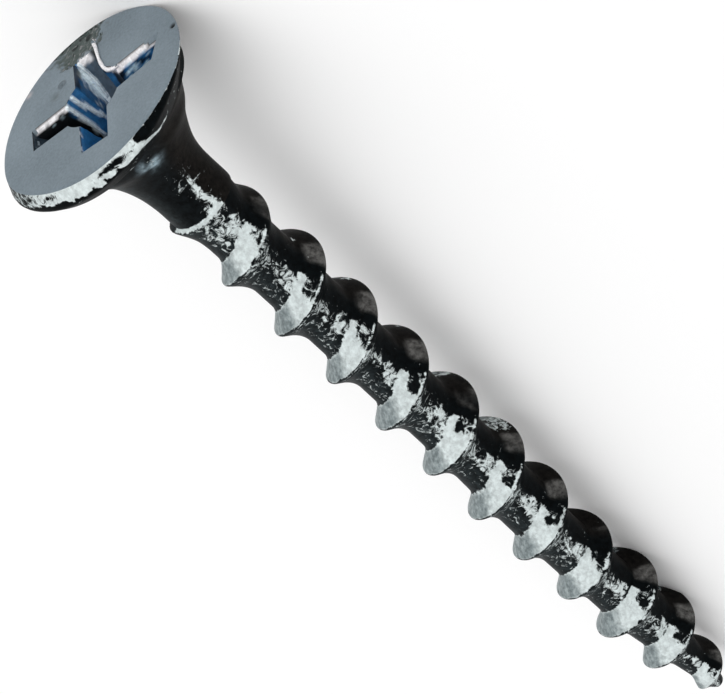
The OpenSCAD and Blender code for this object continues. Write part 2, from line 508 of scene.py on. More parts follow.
def markFace(piece):
    # the marks are pressed in before the head leans, on a finer mesh
    makeActive(piece)
    centres = np.array([tuple(polygon.center) for polygon in piece.data.polygons])
    least = 0.01
    near = tornShare(centres, 0) > least
    for mark in face["marks"]:
        near |= radiusOf(centres, mark["place"]) < face["markReach"]
    near &= onTheFace(centres)
    editMode(True)
    bpy.ops.mesh.select_mode(type="FACE")
    bpy.ops.mesh.select_all(action="DESELECT")
    editMode(False)
    piece.data.polygons.foreach_set("select", near)
    editMode(True)
    bpy.ops.mesh.subdivide(number_cuts=face["cuts"])
    bpy.ops.mesh.select_mode(type="VERT")
    editMode(False)

    points = getPoints(piece)
    spot = noiseAt(points, face["spotSize"], 9.0)
    grit = noiseAt(points, face["gritSize"], 2.0)
    sink = 0 * spot
    for mark in face["marks"]:
        sink += mark["sink"] * hill(radiusOf(points, mark["place"]), 0, mark["radius"])
    ring = face["ring"]
    sink -= ring["lift"] * hill(radiusOf(points, ring["place"]), ring["radius"], ring["width"])
    torn = face["torn"]
    sink += tornShare(points, 2 * spot) * (torn["sink"] + torn["rough"] * (spot + 0.6 * grit))
    points[:, 2] += np.where(onTheFace(points), sink, 0)
    setPoints(piece, points)


# The thread: one pitch of its profile, swept by a screw modifier, then tapered at both ends

thread = dict(
    steps=112,
    turns=15,
    columns=34,
    crowding=1.5,          # the profile's columns stand closer near the crest
    pitch=3.04,
    rootRadius=1.1,
    rootStart=0.14,        # what the root is thicker by where it leaves the neck
    rootStartRun=1.6,
    # a flat on the root, on setSide
    hollow=dict(amount=0.10, start=26.5, end=32, soft=1, reach=0.5),
    height=0.65,
    # what the height gains along the shank
    growth=[(15, 0), (20, 0.06), (25, 0.06), (27, -0.02), (30, -0.02), (32, 0.08), (34, 0.05),
            (36, 0.08)],
    steeper=[(25.5, 0), (26.5, 1.1), (31, 1.1), (32.5, 0)],   # flank that faces the head, on setSide
    startSide=222,         # where the crest leaves the neck
    startHeight=0.3,
    runIn=3.6,
    halfLand=0.06,
    landRound=0.08,
    flankRun=0.70,
    headFillet=0.25,       # softness of the root on the flank that faces the head
    pointFillet=0.65,      # and on the one that faces the point
    seam=0.16,             # place of the fold beside the crest
    seamDepth=0.05,
    seamWidth=0.016,
    seamColumns=(-0.03, -0.01, 0.01, 0.03),
    sink=0.1,
    length=39.62,
    endCut=0.02,           # the point's end is a small flat
    rootTaper=6,
    runOut=4.8,
    runOutCurve=0.75,
    noseRadius=0.33,
    noseLength=0.6,
    closeUp=1.2,           # length before the end over which the last turns close up
    # the rolled shank isn't straight: depth, and sideways set towards setSide
    path=[(6, 0), (9, 0.03), (13, 0.06), (21, 0.06), (25.5, -0.08), (29, -0.06), (32, 0.03), (35, -0.04),
          (37, -0.06), (39, 0)],
    pathStart=(6, 7),
    spread=1.2,            # length over which such a path is smoothed
    # and the crests stray along the axis on that side, and on the opposite side
    strayHere=[(8, 0), (11, -0.15), (16, -0.15), (19, 0), (26.5, 0), (28.5, 0.3), (34, 0.27), (39, 0.4)],
    strayThere=[(25, 0), (27, -0.08), (30, -0.05), (33, -0.2), (35.5, -0.36), (38, -0.2)],
    strayEnd=(38.2, 39.5),
    setSide=29,
)


def shareAt(offset):
    line = 1 - (np.abs(offset) - thread["halfLand"]) / thread["flankRun"]
    softness = np.where(offset < 0, thread["headFillet"], thread["pointFillet"])
    return softMin(softMax(line, 0 * line, softness), 1, thread["landRound"])


def makeShank():
    pitch = thread["pitch"]
    firstCrest = head["neckEnd"] - pitch * thread["startSide"] / 360
    steps = np.linspace(-1, 1, thread["columns"])
    offsets = pitch / 2 * np.sign(steps) * np.abs(steps) ** thread["crowding"]
    offsets = np.sort(np.append(offsets, [thread["seam"] + shift for shift in thread["seamColumns"]]))
    blankRadius = 2.0
    piece = drawLine("shank", [(blankRadius, 0, firstCrest + offset) for offset in offsets])
    screw = piece.modifiers.new("screw", "SCREW")
    screw.angle = tau
    screw.screw_offset = pitch
    screw.iterations = thread["turns"]
    screw.steps = screw.render_steps = thread["steps"]
    makeActive(piece)
    bpy.ops.object.modifier_apply(modifier=screw.name)
    editMode(True)
    mergeAndTurnOut()
    editMode(False)

    points = getPoints(piece)
    side = sideOf(points)
    setSide = math.radians(thread["setSide"])
    endless = points[:, 2].copy()
    offset = phaseAt(endless, side)
    closing = thread["length"] - thread["closeUp"]
    depth = np.where(endless < closing, endless,
                     thread["length"] - thread["closeUp"]
                     * np.exp(np.minimum(closing - endless, 0) / thread["closeUp"]))
    left = np.maximum(thread["length"] - depth, 0)
    taper = np.clip(left / thread["rootTaper"], 0, 1)
    root = thread["noseRadius"] + (thread["rootRadius"] - thread["noseRadius"]) * taper
    hollow = thread["hollow"]
    root -= (hollow["amount"] * hill(np.cos(side - setSide), 1, hollow["reach"])
             * band(hollow["start"], hollow["end"], hollow["soft"], depth))
    root += thread["rootStart"] * (1 - fade(head["neckEnd"], head["neckEnd"] + thread["rootStartRun"], depth))
    past = depth - head["neckEnd"]
    rise = thread["startHeight"] + (thread["height"] - thread["startHeight"]) * past / thread["runIn"]
    rise = np.clip(rise, 0, thread["height"]) + alongPath(thread["growth"], depth)
    rise = np.where(past < 0, thread["startHeight"] * np.clip(1 + past / thread["sink"], 0, 1), rise)
    run = (1 - (1 - np.clip(left / thread["runOut"], 0, 1)) ** 2) ** thread["runOutCurve"]
    nose = np.sqrt(1 - (1 - np.clip(left / thread["noseLength"], 0, 1)) ** 2)
    facing = (1 + np.cos(side - setSide)) / 2
    narrower = 1 + alongPath(thread["steeper"], depth) * facing ** 2 * (offset < 0)
    share = shareAt(offset * narrower)
    share -= thread["seamDepth"] * hill(offset, thread["seam"], thread["seamWidth"])
    radius = (root + rise * run * share) * nose
    setPoints(piece, np.stack([radius * np.cos(side), radius * np.sin(side), depth], axis=1))

    editMode(True)
    cuts = ((head["neckEnd"] - thread["sink"], False), (thread["length"] - thread["endCut"], True))
    for cut, outer in cuts:
        bpy.ops.mesh.select_all(action="SELECT")
        bpy.ops.mesh.bisect(plane_co=(0, 0, cut), plane_no=(0, 0, 1), use_fill=True,
                            clear_inner=not outer, clear_outer=outer, threshold=1e-5)
    mergeAndTurnOut()
    editMode(False)
    return piece


def phaseAt(depth, side):
    crest = head["neckEnd"] + thread["pitch"] * (np.degrees(side) - thread["startSide"]) / 360
    return (depth - crest + thread["pitch"] / 2) % thread["pitch"] - thread["pitch"] / 2


def alongPath(path, depth):
    # a smooth line through the stations
    stations, values = zip(*path)
    spread = thread["spread"]
    return sum(np.interp(depth + step, stations, values) for step in (-spread, 0, spread)) / 3


def setShank(piece):
    points = getPoints(piece)
    side = sideOf(points)
    setSide = math.radians(thread["setSide"])
    facing = (1 + np.cos(side - setSide)) / 2
    sideways = alongPath(thread["path"], points[:, 2]) * fade(*thread["pathStart"], points[:, 2])
    stray = alongPath(thread["strayHere"], points[:, 2]) * facing
    stray += alongPath(thread["strayThere"], points[:, 2]) * (1 - facing)
    stray *= 1 - fade(*thread["strayEnd"], points[:, 2])
    points[:, 0] += sideways * math.cos(setSide)
    points[:, 1] += sideways * math.sin(setSide)
    points[:, 2] += stray
    setPoints(piece, points)


screw = makeHead()
print("head turned")
cutRecess(screw)
print("recess cut")
markFace(screw)
leanHead(screw)
boolean(screw, makeShank(), "UNION")
screw.name = "screw"
screw.data.name = "screw"
print("thread joined")


# Wear, painted highlights and painted shade, and tone are worked out at each point of the upright screw and
# kept as attributes

tones = dict(
    black="#060a0c",       # black oxide, used also as painted shade in a band under the thread and on the rim
    plate="#0e1214",
    brown="#161412",       # the same oxide, darker as painted shade on the underside
    # lighter copy of the oxide, painted light on the upper sides
    slate="#23292b",
    grey="#7c8789",        # rubbed steel in painted shade
    white="#d6dfdf",       # rubbed steel, as white as a painted highlight
    # grey patches painted as reflection on the underside humps
    greyReflection="#62615f",
    # painted highlight on the bugle
    glow="#a9bfca",
    torn="#4d5755",
    pale="#aaa6a8",
    deep="#0b1a2c",
    blue="#2a6da3",
    ice="#cfeaf5",
    # painted highlight on the ridges
    ridge="#ecf8fd",
    wall="#354653",
    # painted shade in the recess
    recessShade="#0c0f13",
    lip="#f0eef0",
)


# Sides are in degrees round the screw, and 119 is the one that faces the camera. Depths are in
# millimetres, and phases too: the distance from the crest, negative towards the head. A band is given
# as low, high and softness, a hill as middle and width, and a fade as start and end.
farSides = (255, 400, 12)   # away from the camera, where the screw is only scuffed in places
blotSize = 1.1              # blots and spots are what the wear strays by
spotSize = 0.45

threadWearAndLight = dict(
    stray=9,
    flankStart=-0.80, flankEnd=-0.03, flankSoft=0.05,
    later=0.07, laterSides=(130, 150),
    wider=0.08, widerDepths=(20, 27),
    litSides=(93, 262, 8), litShare=1.12,
    # dark blotches in the painted highlight on the flank: near the crest, near its start, further up, all
    # over, and low
    mottle=0.74, mottleSide=(107, 15), mottlePhases=(-0.68, -0.45),
    startMottle=0.45, startPhases=(-0.80, -0.70),
    upperMottle=0.26, upperSide=(90, 8),
    spots=0.30, spotFade=(0.10, 0.45),
    lowerMottle=0.35, lowerSides=(185, 225), lowerFade=(-0.3, 0.3),
    crestLine=0.80, crestSides=(84, 130, 6), crestPhase=(-0.07, 0.04),
    # smear along the root, wider and denser just before a flank
    root=0.45, rootSides=(106, 136), rootSoft=9, rootStray=8,
    lead=0.12, leadWider=10, leadPhases=(-1.0, -0.7),
    # specks beside it
    rootDust=[(0.31, (98, 140, 12)), (0.27, (140, 178, 8))],
    upperDust=0.12, upperDustSides=(60, 96, 12),
    firstDust=0.13, firstDustSides=(100, 165, 12), firstDepths=(7.5, 9.5),
    scuffs=0.30, flankScuffs=0.22, scuffFade=(0.0, 0.35),
    seams=[(0.10, 0.022), (0.235, 0.025)], seamShare=0.52, seamSides=(112, 172, 8),
    # painted shade: the white flank greys towards the silhouette on these sides
    dull=0.95, greyShadeSides=(138, 170), greyShadeStray=10,
    # tones of the oxide that is left, with painted shade on the underside and in a black band there, and a
    # lighter copy as painted light on the upper sides
    brown=0.9, blackenedSides=(60, 285, 16), blackSides=(66, 96, 8),
    slate=0.95, slateSides=(137, 262, 12),
    greyReflection=0.85, greyReflectionSides=(44, 73, 4), greyReflectionPhases=(-0.55, 0.06, 0.06), greyReflectionStray=(5, 0.12),
    greyReflectionFade=(-0.4, 0.1),
)

neckWearAndLight = dict(
    smear=0.56, lowerSmear=0.26, lowerDepths=(4.4, 5.4),
    smearSide=(113, 12), smearDepths=(4.1, 5.75, 0.2), smearStray=(14, 7, 0.3),
    ring=0.85, ringSides=(100, 205, 12), ringDepths=(5.72, 5.9, 0.03),   # edge of the step
    specks=0.27, moreSpecks=0.20, speckFade=(-0.2, 0.4), speckSide=(118, 28), speckDepths=(3.3, 5.75, 0.4),
    # painted highlight: a light bluish patch on the bugle
    glow=0.95, glowSide=(128, 9), glowDepth=(2.15, 0.36), glowStray=(5, 0.15), glowFade=(-0.5, 0.3),
    glowWear=0.30,
    scuffs=0.40, scuffFade=(0.05, 0.4),
    # the oxide is darker as painted shade outside blackSides, and lighter as painted light on slateSides
    blackSides=(112, 262, 14), slateSides=(168, 250, 14),
    endMargin=0.005,
)

rimWearAndLight = dict(
    spotSize=0.28, fine=(0.8, 0.3), pastRim=0.15,
    # wear on the upper sides, white there as painted light, and black oxide as painted shade on the others
    share=1.1, sides=(121, 300, 3), depths=(-0.2, 0.66, 0.05), stray=(3, 0.16),
    # black islands in the white: dense, plain, towards the floor, and specks along the lower edge
    island=0.95, islandSide=(135, 12), islandDepth=(0.38, 0.16),
    gap=0.75, gapSide=(176, 6), gapDepth=(0.38, 0.2),
    lower=0.60, lowerSides=(172, 195),
    specks=0.35, speckFade=(0.15, 0.45), speckDepths=(0.3, 0.6),
    # painted highlight: a white line under the rim, which rises and widens as it runs into the white
    rimGlintSides=(98, 126, 4), rimGlintDepth=0.92, rimGlintRise=0.37, riseSides=(104, 122), rimGlintStray=0.04,
    rimGlintWidth=0.05, rimGlintWider=0.13, widerSides=(104, 124),
    # painted highlight along the edge of the face
    edge=0.60, edgeDepth=(0.02, 0.05), edgeSides=(50, 122, 5),
    least=0.16,
    # painted shade: the white band greys on these sides
    dull=0.75, greyShadeSides=(180, 205),
)


def addAttribute(piece, name, values):
    layer = piece.data.attributes.new(name, "FLOAT", "POINT")
    layer.data.foreach_set("value", np.asarray(values, dtype=float))


def addTone(piece, name, colors):
    layer = piece.data.attributes.new(name, "FLOAT_COLOR", "POINT")
    layer.data.foreach_set("color", colors.ravel())


def plainTone(tone, points):
    return np.tile(np.array(toLinear(tones[tone])), (len(points), 1))


def blendTone(colors, tone, share):
    share = np.clip(share, 0, 1)[:, None]
    return colors * (1 - share) + np.array(toLinear(tones[tone])) * share


def farShare(side):
    # sides past a full turn are counted on
    turnStart = 60
    return band(*farSides, side + 360 * (side < turnStart))


def paintThread(side, depth, blot, spot):
    # returns the mask of wear and of the painted highlight on the upper flanks, how bright that is, and the
    # tone beneath
    rub = threadWearAndLight
    phase = phaseAt(depth, np.radians(side))
    start = rub["flankStart"] + rub["later"] * fade(*rub["laterSides"], side)
    start -= rub["wider"] * fade(*rub["widerDepths"], depth)
    flank = band(start, rub["flankEnd"], rub["flankSoft"], phase + rub["flankSoft"] * spot)
    offFlank = 1 - flank
    lead = 1 - fade(*rub["leadPhases"], phase)
    wander = side + rub["stray"] * blot
    nearCrest = fade(*rub["mottlePhases"], phase)
    nearCrest += rub["startMottle"] * (1 - fade(*rub["startPhases"], phase))
    mottle = rub["mottle"] * hill(wander, *rub["mottleSide"]) * nearCrest
    mottle += rub["upperMottle"] * hill(wander, *rub["upperSide"])
    mottle += rub["spots"] * fade(*rub["spotFade"], spot)
    mottle += rub["lowerMottle"] * fade(*rub["lowerSides"], side) * fade(*rub["lowerFade"], spot - blot)
    # the flank's white on the upper sides is a painted highlight, broken by the blotches
    onFlank = flank * band(*rub["litSides"], wander) * np.clip(rub["litShare"] - mottle, 0, 1)
    crestLine = rub["crestLine"] * band(*rub["crestSides"], side) * hill(phase, *rub["crestPhase"])
    rootLow, rootHigh = rub["rootSides"]
    onRoot = band(rootLow - rub["leadWider"] * lead, rootHigh, rub["rootSoft"],
                  wander + rub["rootStray"] * spot)
    onRoot *= offFlank * (rub["root"] + rub["lead"] * lead)
    dust = sum(share * band(*sides, side) for share, sides in rub["rootDust"]) * offFlank
    dust += rub["upperDust"] * band(*rub["upperDustSides"], side)
    nearNeck = 1 - fade(*rub["firstDepths"], depth)
    dust += rub["firstDust"] * band(*rub["firstDustSides"], side) * nearNeck * offFlank
    scuffs = farShare(side) * fade(*rub["scuffFade"], blot) * (rub["scuffs"] + rub["flankScuffs"] * flank)
    seams = np.maximum.reduce([hill(phase, *seam) for seam in rub["seams"]])
    seams *= rub["seamShare"] * band(*rub["seamSides"], side)
    wearAndPaintedLight = np.maximum.reduce([onFlank, onRoot, dust, seams, scuffs, crestLine])
    # painted shade greys the white flank on some sides
    bright = 1 - rub["dull"] * fade(*rub["greyShadeSides"], side + rub["greyShadeStray"] * (blot + spot)) * flank

    # darker oxide on the underside and in a band there as painted shade, lighter on the upper sides as
    # painted light
    tone = plainTone("plate", side)
    tone = blendTone(tone, "brown", rub["brown"] * (1 - band(*rub["blackenedSides"], side)))
    tone = blendTone(tone, "black", band(*rub["blackSides"], side))
    tone = blendTone(tone, "slate", rub["slate"] * band(*rub["slateSides"], side))
    # painted reflection: grey patches on the underside humps
    sideStray, phaseStray = rub["greyReflectionStray"]
    greyReflection = band(*rub["greyReflectionSides"], side + sideStray * spot)
    greyReflection *= band(*rub["greyReflectionPhases"], phase + phaseStray * spot) * fade(*rub["greyReflectionFade"], blot)
    return wearAndPaintedLight, bright, blendTone(tone, "greyReflection", rub["greyReflection"] * greyReflection)


def paintNeck(side, depth, blot, spot):
    rub = neckWearAndLight
    spotStray, blotStray, depthStray = rub["smearStray"]
    smear = hill(side + spotStray * spot + blotStray * blot, *rub["smearSide"])
    smear *= band(*rub["smearDepths"], depth + depthStray * spot)
    smear *= rub["smear"] + rub["lowerSmear"] * fade(*rub["lowerDepths"], depth)
    ring = rub["ring"] * band(*rub["ringDepths"], depth) * band(*rub["ringSides"], side)
    specks = rub["specks"] + rub["moreSpecks"] * fade(*rub["speckFade"], blot)
    specks *= hill(side, *rub["speckSide"]) * band(*rub["speckDepths"], depth)
    # painted highlight: a light bluish patch on the bugle
    sideStray, depthStray = rub["glowStray"]
    glow = hill(side + sideStray * spot, *rub["glowSide"])
    glow *= hill(depth + depthStray * blot, *rub["glowDepth"])
    scuffs = rub["scuffs"] * fade(*rub["scuffFade"], blot) * farShare(side)
    wearAndPaintedLight = np.maximum.reduce([smear, ring, specks, rub["glowWear"] * glow, scuffs])
    # darker oxide on the underside as painted shade, lighter on the upper sides as painted light
    tone = plainTone("plate", side)
    tone = blendTone(tone, "brown", 1 - band(*rub["blackSides"], side))
    tone = blendTone(tone, "slate", band(*rub["slateSides"], side))
    tone = blendTone(tone, "glow", rub["glow"] * glow * fade(*rub["glowFade"], spot))
    return wearAndPaintedLight, 1 - rub["glowWear"] * glow, tone


def paintRim(side, depth, below, blot, spot):
    # below: depth under the leaning face
    rub = rimWearAndLight
    fine = rub["fine"][0] * spot + rub["fine"][1] * blot
    sideStray, depthStray = rub["stray"]
    # worn: wear and painted light on the upper sides of the rim
    worn = band(*rub["sides"], side + sideStray * fine) * band(*rub["depths"], depth + depthStray * fine)
    worn *= rub["share"] - rub["island"] * hill(side, *rub["islandSide"]) * hill(depth, *rub["islandDepth"])
    worn -= rub["gap"] * hill(side, *rub["gapSide"]) * hill(depth, *rub["gapDepth"])
    worn -= rub["lower"] * fade(*rub["lowerSides"], side)
    worn -= rub["specks"] * fade(*rub["speckFade"], spot) * fade(*rub["speckDepths"], depth)
    # painted highlight: the white line under the rim
    rimGlintDepth = rub["rimGlintDepth"] - rub["rimGlintRise"] * fade(*rub["riseSides"], side)
    rimGlintWidth = rub["rimGlintWidth"] + rub["rimGlintWider"] * fade(*rub["widerSides"], side)
    rimGlint = band(*rub["rimGlintSides"], side) * hill(depth + rub["rimGlintStray"] * fine, rimGlintDepth, rimGlintWidth)
    # painted highlight along the face edge
    edge = rub["edge"] * hill(below, *rub["edgeDepth"]) * band(*rub["edgeSides"], side)
    wearAndPaintedLight = np.maximum.reduce([worn, rimGlint, edge, rub["least"] + 0 * side])
    # painted shade greys the white band on some sides
    bright = 1 - rub["dull"] * fade(*rub["greyShadeSides"], side)
    return wearAndPaintedLight, bright, plainTone("black", side)


def paintWearAndLight(piece):
    points = getPoints(piece)
    side = np.degrees(sideOf(points)) % 360
    depth = points[:, 2]
    blot = noiseAt(points, blotSize, 3.0)
    spot = noiseAt(points, spotSize, 7.0)
    wearAndPaintedLight, bright, tone = paintThread(side, depth, blot, spot)
    onNeck = depth < head["neckEnd"] - neckWearAndLight["endMargin"]
    below = depth - surfaceOfFace(points)
    onRim = below < head["rimHeight"] + rimWearAndLight["pastRim"]
    neck = paintNeck(side, depth, blot, spot)
    rim = paintRim(side, depth, below, blot, noiseAt(points, rimWearAndLight["spotSize"], 8.0))
    for here, (newWear, newBright, newTone) in ((onNeck, neck), (onRim, rim)):
        wearAndPaintedLight = np.where(here, newWear, wearAndPaintedLight)
        bright = np.where(here, newBright, bright)
        tone = np.where(here[:, None], newTone, tone)
    mark, tone = paintFace(points, tone)
    tone = paintRecess(piece, points, tone)
    addAttribute(piece, "wearAndPaintedLight", wearAndPaintedLight)
    addAttribute(piece, "bright", bright)
    addAttribute(piece, "mark", mark)
    addTone(piece, "tone", tone)


def paintFace(points, tone):
    here = np.abs(points[:, 2] - surfaceOfFace(points)) < face["nearDepth"]
    spot = noiseAt(points, face["spotSize"], 9.0)
    streak = noiseAt(points * np.array(face["streakStretch"]), face["streakSize"], 5.0)
    share = 0 * spot
    for mark in face["marks"]:
        away = radiusOf(points, mark["place"])
        part = np.where(here, mark["share"] * hill(away, 0, mark["radius"] * face["markSpread"]), 0)
        tone = np.where((part > face["toneStart"])[:, None], plainTone(mark["tone"], points), tone)
        share = np.maximum(share, part)
    ring = face["ring"]
    away = radiusOf(points, ring["place"])
    part = np.where(here, ring["share"] * hill(away, ring["radius"], ring["width"]), 0)
    tone = np.where((part > ring["toneStart"])[:, None], plainTone("black", points), tone)
    share = np.maximum(share, part)
    torn = face["torn"]
    part = np.where(here & (radiusOf(points) < torn["end"]), tornShare(points, 2 * spot), 0)
    rough = blendTone(plainTone("torn", points), "pale", torn["pale"] * fade(*torn["paleFade"], streak))
    rough = blendTone(rough, "black", torn["black"] * fade(*torn["blackFade"], -spot - 0.4 * streak))
    tone = np.where((part > face["toneStart"])[:, None], rough, tone)
    return np.clip(np.maximum(share, part), 0, 1), tone


# Tones of the recess: a lip is bright down to between two depths, and along and across are measured
# from the axis in the direction of the nearest wing
recessTones = dict(
    spotSize=0.3, fineSize=0.14, ragged=(0.07, 0.05),
    endTurn=(-0.1, 0.1), endAlong=(1.3, 1.5),
    blue=0.85, blueSpots=0.5,
    torn=dict(lip=(0.17, 0.23), deep=(0.0, 0.25), ice=(0.2, 0.45), shadeAlong=(0.6, 1.15, 0.1)),
    even=dict(lip=(0.02, 0.06), lipShare=0.8, blue=0.7),
    shadedWing=dict(lip=(0.13, 0.18), lipAlong=(0.75, 0.95), ice=0.6, iceFade=(0.50, 0.60), wall=0.7),
    streaked=dict(lip=(0.20, 0.32), lipAcross=(0.10, 0.3), wall=0.9, shadeAcross=(0.15, 0.35),
                  shadeDepth=(0.4, 0.6), recessShade=0.85, shadeLip=(0.18, 0.34),
                  streak=(0.12, 0.55), streakDepth=(0.08, 0.2), streakEdge=(0.1, -0.36)),
    cornerSides=(250, 304, 4), cornerEdge=(0.02, 0.08),
    ridgeEdge=(0.055, 0.080),
    burrHeight=(-0.012, -0.025),
)


def paintRecess(piece, points, tone):
    paint = recessTones
    depth = points[:, 2] - surfaceOfFace(points)
    normals = getNormals(piece)
    inside = inRecess(points, -recess["burrRoom"]) & ~isFace(points, depth, normals[:, 2])
    spot = noiseAt(points, paint["spotSize"], 11.0)
    fine = noiseAt(points, paint["fineSize"], 12.0)
    ragged = depth + paint["ragged"][0] * spot + paint["ragged"][1] * fine
    side = np.degrees(sideOf(points))
    turns = [wing["turn"] for wing in recess["wings"]]
    nearest = np.argmin([np.abs(sideFrom(side, turn)) for turn in turns], axis=0)
    turn = np.radians(np.array(turns)[nearest])
    along = points[:, 0] * np.cos(turn) + points[:, 1] * np.sin(turn)
    across = -points[:, 0] * np.sin(turn) + points[:, 1] * np.cos(turn)
    inward = -(normals[:, 0] * np.cos(turn) + normals[:, 1] * np.sin(turn))
    sideways = np.abs(-normals[:, 0] * np.sin(turn) + normals[:, 1] * np.cos(turn))
    onEnd = fade(*paint["endTurn"], inward - sideways) * fade(*paint["endAlong"], along)
    upperRight, lowerRight, lowerLeft, upper = [nearest == i for i in range(4)]

    new = blendTone(plainTone("deep", points), "blue", paint["blue"] + paint["blueSpots"] * spot)
    plainBlue = new
    # upper right wing: mottled blue under a bright torn lip
    wall = paint["torn"]
    mottled = blendTone(new, "deep", fade(*wall["deep"], -spot - 0.5 * fine))
    mottled = blendTone(mottled, "ice", fade(*wall["ice"], spot + 0.6 * fine))
    # painted shade towards the middle
    mottled = blendTone(mottled, "recessShade", band(*wall["shadeAlong"], along))
    mottled = blendTone(mottled, "lip", 1 - fade(*wall["lip"], ragged))
    new = np.where(upperRight[:, None], mottled, new)
    # lower right wing: even blue with a thin light edge
    wall = paint["even"]
    plain = blendTone(new, "blue", wall["blue"] + 0 * spot)
    plain = blendTone(plain, "lip", wall["lipShare"] * (1 - fade(*wall["lip"], ragged)))
    new = np.where(lowerRight[:, None], plain, new)
    # lower left wing: dark with painted shade, with a few pale specks and a grey end
    wall = paint["shadedWing"]
    shadedWing = blendTone(new, "recessShade", 1 + 0 * spot)
    shadedWing = blendTone(shadedWing, "ice", wall["ice"] * fade(*wall["iceFade"], fine + 0.2 * spot))
    shadedWing = blendTone(shadedWing, "wall", wall["wall"] * onEnd)
    lip = (1 - fade(*wall["lip"], ragged)) * (1 - onEnd) * fade(*wall["lipAlong"], along)
    new = np.where(lowerLeft[:, None], blendTone(shadedWing, "lip", lip), new)
    # upper wing: slate end under a torn lip, and a blue wall with a wide pale streak beside it
    wall = paint["streaked"]
    edgeSlope, edgeStart = wall["streakEdge"]
    pastEdge = across < edgeSlope * depth + edgeStart
    lines = [leanPoints(np.array([(x, y, -height) for x, y, height, thick in ridge]))
             for ridge in recess["ridges"]]
    streak = 1 - fade(*wall["streak"], fromLine(points, lines[0]) + 0.6 * spot + 0.5 * fine)
    streak *= fade(*wall["streakDepth"], depth) * pastEdge
    slateEnd = blendTone(new, "wall", wall["wall"] + 0 * spot)
    # painted shade near the mouth
    slateEnd = blendTone(slateEnd, "recessShade",
                         fade(*wall["shadeAcross"], across) * (1 - fade(*wall["shadeDepth"], depth)))
    slateEnd = blendTone(slateEnd, "lip",
                         (1 - fade(*wall["lip"], ragged)) * (1 - fade(*wall["lipAcross"], across)))
    slateEnd = blendTone(slateEnd, "blue", 1.0 * pastEdge)
    slateEnd = blendTone(slateEnd, "ridge", streak)
    streaked = blendTone(new, "ridge", streak)
    # painted shade under the lip
    streaked = blendTone(streaked, "recessShade", wall["recessShade"] * (1 - fade(*wall["shadeLip"], ragged)))
    streaked = streaked * (1 - onEnd[:, None]) + slateEnd * onEnd[:, None]
    new = np.where(upper[:, None], streaked, new)
    # blue flared corner between ridges with painted highlights
    flare = recess["flareTop"] - (recess["flareTop"] - recess["flareBottom"]) * depth / recess["depth"]
    radius = radiusOf(points)
    corner = (1 - fade(*paint["cornerEdge"], radius - flare)) * band(*paint["cornerSides"], side % 360)
    new = new * (1 - corner[:, None]) + plainBlue * corner[:, None]
    # painted highlight along the ridges
    for line in lines:
        new = blendTone(new, "ridge", 1 - fade(*paint["ridgeEdge"], fromLine(points, line)))
    # burrs
    new = blendTone(new, "lip", fade(*paint["burrHeight"], depth))
    return np.where(inside[:, None], new, tone)


def surfaceOfFace(points):
    # depth of the leaning face at a place across it
    lean = head["lean"]
    return lean[0] * points[:, 1] - lean[1] * points[:, 0]


paintWearAndLight(screw)
setShank(screw)


# Materials

def setNode(tree, node, settings, links):
    for key, value in settings.items():
        if isinstance(key, int) or key in node.inputs:
            node.inputs[key].default_value = value
        else:
            setattr(node, key, value)
    for key, source in links.items():
        tree.links.new(source, node.inputs[key])
    return node


def addNode(tree, kind, settings={}, links={}):
    return setNode(tree, tree.nodes.new(kind), settings, links)


def newMaterial(name):
    material = bpy.data.materials.new(name)
    material.use_nodes = True
    return material, material.node_tree, material.node_tree.nodes["Principled BSDF"]


# Sizes of grain, cloud and crust are in millimetres
zinc = dict(dark="#6a777f", light="#84919a", grain=0.09, cloud=2.5, pitDepth=0.01, metallic=0.4,
            roughness=0.65)
passivate = dict(cloud=0.15, metallic=0.25, roughness=0.35)
oxide = dict(grain=0.30, crust=0.22, pitDepth=0.02, metallic=0.6, roughness=0.45, specular=0.03,
             lightShare=0.55, maskFrom=0.72, maskTo=0.82)


def zincFace():
    # barrel-plated zinc, dull and finely pitted: an even grey with no clear reflection
    material, tree, shader = newMaterial("dull zinc plate")
    place = addNode(tree, "ShaderNodeTexCoord")
    mark = addNode(tree, "ShaderNodeAttribute", dict(attribute_name="mark"))
    tone = addNode(tree, "ShaderNodeAttribute", dict(attribute_name="tone"))
    grain = addNode(tree, "ShaderNodeTexNoise", {"Scale": 1 / (zinc["grain"] * mm), "Detail": 3.0},
                    {"Vector": place.outputs["Object"]})
    cloud = addNode(tree, "ShaderNodeTexNoise", {"Scale": 1 / (zinc["cloud"] * mm), "Detail": 2.0},
                    {"Vector": place.outputs["Object"]})
    both = addNode(tree, "ShaderNodeMath", dict(operation="ADD"), {0: grain.outputs[0], 1: cloud.outputs[0]})
    ramp = addNode(tree, "ShaderNodeMapRange", {"From Min": 0.6, "From Max": 1.4}, {"Value": both.outputs[0]})
    color = addNode(tree, "ShaderNodeMix",
                    {"data_type": "RGBA", 6: toLinear(zinc["dark"]), 7: toLinear(zinc["light"])},
                    {"Factor": ramp.outputs[0]})
    marked = addNode(tree, "ShaderNodeMix", {"data_type": "RGBA"},
                     {"Factor": mark.outputs["Fac"], 6: color.outputs[2], 7: tone.outputs["Color"]})
    bump = addNode(tree, "ShaderNodeBump", {"Strength": 0.3, "Distance": zinc["pitDepth"] * mm},
                   {"Height": grain.outputs[0]})
    setNode(tree, shader, {"Metallic": zinc["metallic"], "Roughness": zinc["roughness"]},
            {"Base Color": marked.outputs[2], "Normal": bump.outputs[0]})
    return material


